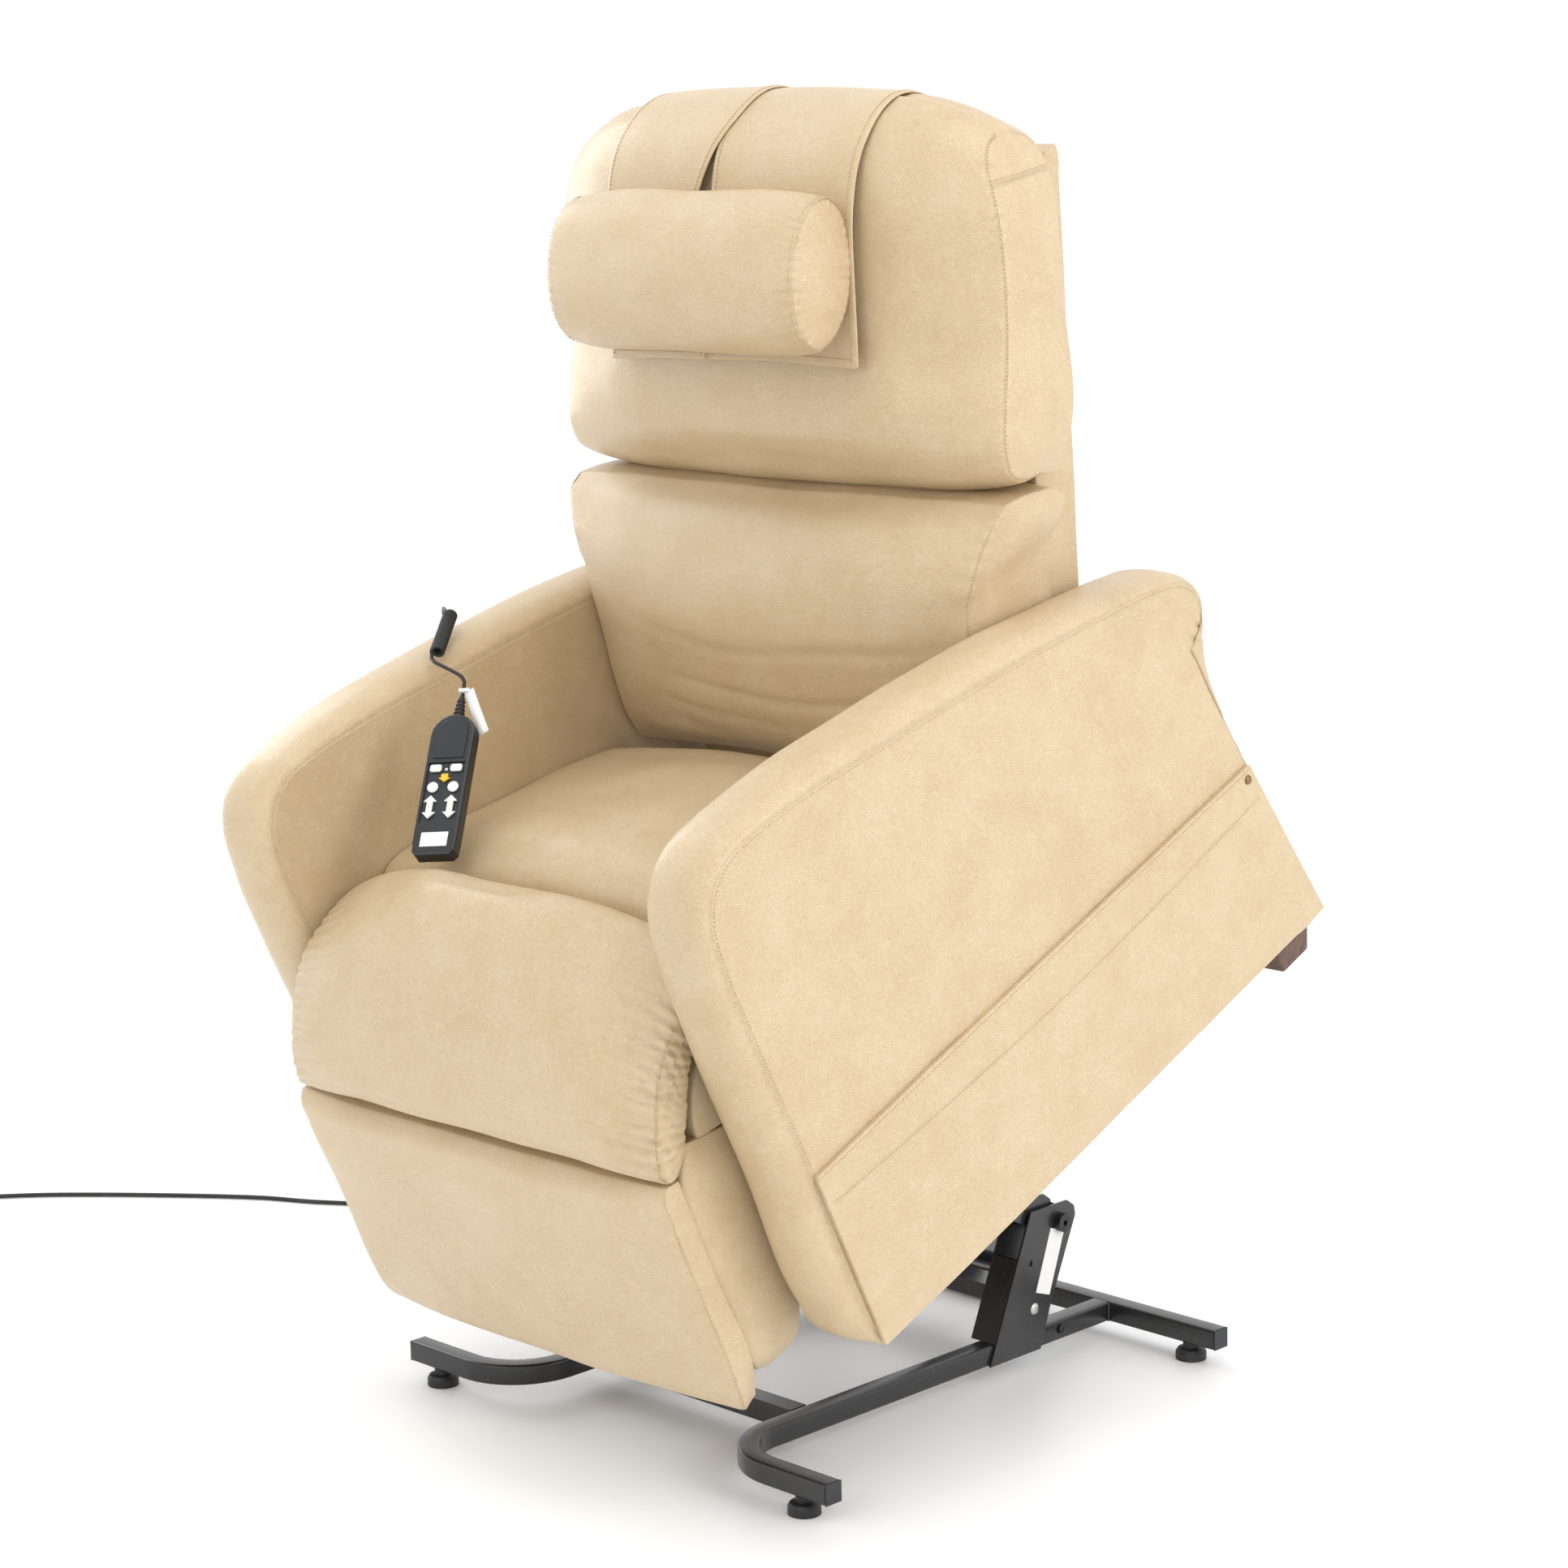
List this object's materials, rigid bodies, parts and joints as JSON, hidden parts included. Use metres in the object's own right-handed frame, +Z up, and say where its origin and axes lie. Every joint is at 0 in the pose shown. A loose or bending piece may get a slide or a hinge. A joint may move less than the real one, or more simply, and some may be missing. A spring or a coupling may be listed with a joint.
{
  "type": "lift recliner chair",
  "caption": "Powered lift recliner chair, raised and tipped forward on its base: padded arms, cushioned back with neck roll, chaise legrest, and a wired handset lying on the seat",
  "frame": {"origin": "centre of the bounding box without the cords, at floor level", "axes": "X to the sitter's left, Y from the front of the chair to its back, Z up"},
  "size_m": [1.9584, 1.0835, 1.5445],
  "materials": {
    "vinyl": "grained tan synthetic leather, satin",
    "black_steel": "semi-gloss black powder coat",
    "bolt_steel": "black oxide",
    "zinc": "zinc plated",
    "rubber": "matte black",
    "black_plastic": "fine-grained black",
    "wood": "dark brown stain",
    "plywood": "bare plywood",
    "key_white": "white silicone keys",
    "key_yellow": "yellow silicone key"
  },
  "bodies": {
    "base": {"base_rail_left": "black_steel", "base_rail_right": "black_steel", "rear_crossbar": "black_steel", "front_crossbar": "black_steel", "mid_crossbar": "black_steel", "upright_left": "black_steel", "upright_right": "black_steel", "upright_bolt_left": "bolt_steel", "upright_bolt_right": "bolt_steel", "power_supply": "black_plastic", "mains_strain_relief": "rubber", "mains_cord": "rubber", "mains_coil": "rubber", "mains_plug": "rubber"},
    "lift_arms": {"lift_arm_left": "black_steel", "lift_arm_right": "black_steel", "torque_tube": "black_steel"},
    "chair": {"seat_side_plate_left": "black_steel", "seat_side_plate_right": "black_steel", "seat_front_rail": "black_steel", "seat_rear_rail": "black_steel", "seat_deck": "plywood", "arm_left": "vinyl", "arm_right": "vinyl", "lower_side_panel_left": "vinyl", "lower_side_panel_right": "vinyl", "rear_wooden_foot_left": "wood", "rear_wooden_foot_right": "wood", "seat_cushion": "vinyl", "chaise_pad": "vinyl", "handset_case": "black_plastic", "handset_strain_relief": "rubber", "handset_curl": "rubber", "handset_lead": "rubber", "handset_tail": "rubber"},
    "back": {"back_frame": "vinyl", "lower_back_cushion": "vinyl", "upper_back_cushion": "vinyl", "neck_roll": "vinyl", "headrest_flap": "vinyl"},
    "legrest": {"legrest_panel": "vinyl", "legrest_core": "vinyl", "legrest_bracket": "black_steel"},
    "lift_actuator_housing": {"lift_actuator_housing": "black_plastic"},
    "lift_actuator_rod": {"lift_actuator_rod": "zinc"},
    "back_actuator_housing": {"back_actuator_housing": "black_plastic"},
    "back_actuator_rod": {"back_actuator_rod": "zinc"},
    "legrest_actuator_housing": {"legrest_actuator_housing": "black_plastic"},
    "legrest_actuator_rod": {"legrest_actuator_rod": "zinc"},
    "front_foot_left": {"front_foot_left": "rubber"},
    "front_foot_right": {"front_foot_right": "rubber"},
    "rear_foot_left": {"rear_foot_left": "rubber"},
    "rear_foot_right": {"rear_foot_right": "rubber"},
    "key_lift_preset": {"key_lift_preset": "key_white"},
    "key_lie_preset": {"key_lie_preset": "key_white"},
    "key_down": {"key_down": "key_yellow"},
    "key_memory_left": {"key_memory_left": "key_white"},
    "key_memory_right": {"key_memory_right": "key_white"},
    "key_legrest": {"key_legrest": "key_white"},
    "key_back": {"key_back": "key_white"}
  },
  "joints": [
    {"name": "lift", "type": "hinge", "parent": "base", "child": "lift_arms", "pos_m": [0, 0.2798, 0.175], "axis": [1, 0, 0], "range_deg": [0, 28.95]},
    {"name": "chair_tilt", "type": "hinge", "parent": "lift_arms", "child": "chair", "pos_m": [0, -0.12398, 0.37548], "axis": [1, 0, 0], "range_deg": [-53.3, 0]},
    {"name": "lift_actuator_swing", "type": "hinge", "parent": "base", "child": "lift_actuator_housing", "pos_m": [0, 0.2978, 0.112], "axis": [1, 0, 0], "range_deg": [0, 23.95]},
    {"name": "lift_actuator_stroke", "type": "slide", "parent": "lift_actuator_housing", "child": "lift_actuator_rod", "axis": [0, -0.7486, 0.663], "range_m": [-0.11309, 0]},
    {"name": "back_recline", "type": "hinge", "parent": "chair", "child": "back", "pos_m": [0, 0.16476, 0.75273], "axis": [-1, 0, 0], "range_deg": [0, 35]},
    {"name": "back_actuator_swing", "type": "hinge", "parent": "chair", "child": "back_actuator_housing", "pos_m": [-0.09, -0.00107, 0.4639], "axis": [-1, 0, 0], "range_deg": [-16.03, 0]},
    {"name": "back_actuator_stroke", "type": "slide", "parent": "back_actuator_housing", "child": "back_actuator_rod", "axis": [0, 0.6945, 0.7195], "range_m": [-0.02382, 0]},
    {"name": "legrest", "type": "hinge", "parent": "chair", "child": "legrest", "pos_m": [0, -0.42077, 0.52346], "axis": [-1, 0, 0], "range_deg": [0, 80], "deforming": ["chaise_pad"]},
    {"name": "legrest_actuator_swing", "type": "hinge", "parent": "chair", "child": "legrest_actuator_housing", "pos_m": [0.09, 0.08772, 0.55885], "axis": [-1, 0, 0], "range_deg": [0, 11.25]},
    {"name": "legrest_actuator_stroke", "type": "slide", "parent": "legrest_actuator_housing", "child": "legrest_actuator_rod", "axis": [0, -0.9114, -0.4115], "range_m": [0, 0.20189]},
    {"name": "front_foot_left_screw", "type": "slide", "parent": "base", "child": "front_foot_left", "axis": [0, 0, -1], "range_m": [0, 0.012]},
    {"name": "front_foot_right_screw", "type": "slide", "parent": "base", "child": "front_foot_right", "axis": [0, 0, -1], "range_m": [0, 0.012]},
    {"name": "rear_foot_left_screw", "type": "slide", "parent": "base", "child": "rear_foot_left", "axis": [0, 0, -1], "range_m": [0, 0.012]},
    {"name": "rear_foot_right_screw", "type": "slide", "parent": "base", "child": "rear_foot_right", "axis": [0, 0, -1], "range_m": [0, 0.012]},
    {"name": "key_lift_preset_press", "type": "slide", "parent": "chair", "child": "key_lift_preset", "axis": [-0.3332, 0.6917, -0.6408], "range_m": [0, 0.001], "stiffness_N_per_m": 400, "springref_m": -0.001},
    {"name": "key_lie_preset_press", "type": "slide", "parent": "chair", "child": "key_lie_preset", "axis": [-0.3332, 0.6917, -0.6408], "range_m": [0, 0.001], "stiffness_N_per_m": 400, "springref_m": -0.001},
    {"name": "key_down_press", "type": "slide", "parent": "chair", "child": "key_down", "axis": [-0.3332, 0.6917, -0.6408], "range_m": [0, 0.001], "stiffness_N_per_m": 400, "springref_m": -0.001},
    {"name": "key_memory_left_press", "type": "slide", "parent": "chair", "child": "key_memory_left", "axis": [-0.3332, 0.6917, -0.6408], "range_m": [0, 0.001], "stiffness_N_per_m": 400, "springref_m": -0.001},
    {"name": "key_memory_right_press", "type": "slide", "parent": "chair", "child": "key_memory_right", "axis": [-0.3332, 0.6917, -0.6408], "range_m": [0, 0.001], "stiffness_N_per_m": 400, "springref_m": -0.001},
    {"name": "key_legrest_press", "type": "slide", "parent": "chair", "child": "key_legrest", "axis": [-0.3332, 0.6917, -0.6408], "range_m": [0, 0.001], "stiffness_N_per_m": 400, "springref_m": -0.001},
    {"name": "key_back_press", "type": "slide", "parent": "chair", "child": "key_back", "axis": [-0.3332, 0.6917, -0.6408], "range_m": [0, 0.001], "stiffness_N_per_m": 400, "springref_m": -0.001}
  ],
  "couplings": [
    {"joint": "chair_tilt", "follows": "lift", "ratio": -1.8394},
    {"joint": "lift_actuator_swing", "follows": "lift", "ratio": 0.82553},
    {"joint": "lift_actuator_stroke", "follows": "lift", "m_per_rad": -0.22365},
    {"joint": "back_actuator_swing", "follows": "back_recline", "ratio": -0.45646},
    {"joint": "back_actuator_stroke", "follows": "back_recline", "m_per_rad": -0.038826},
    {"joint": "legrest_actuator_swing", "follows": "legrest", "ratio": 0.14},
    {"joint": "legrest_actuator_stroke", "follows": "legrest", "m_per_rad": 0.14452}
  ]
}
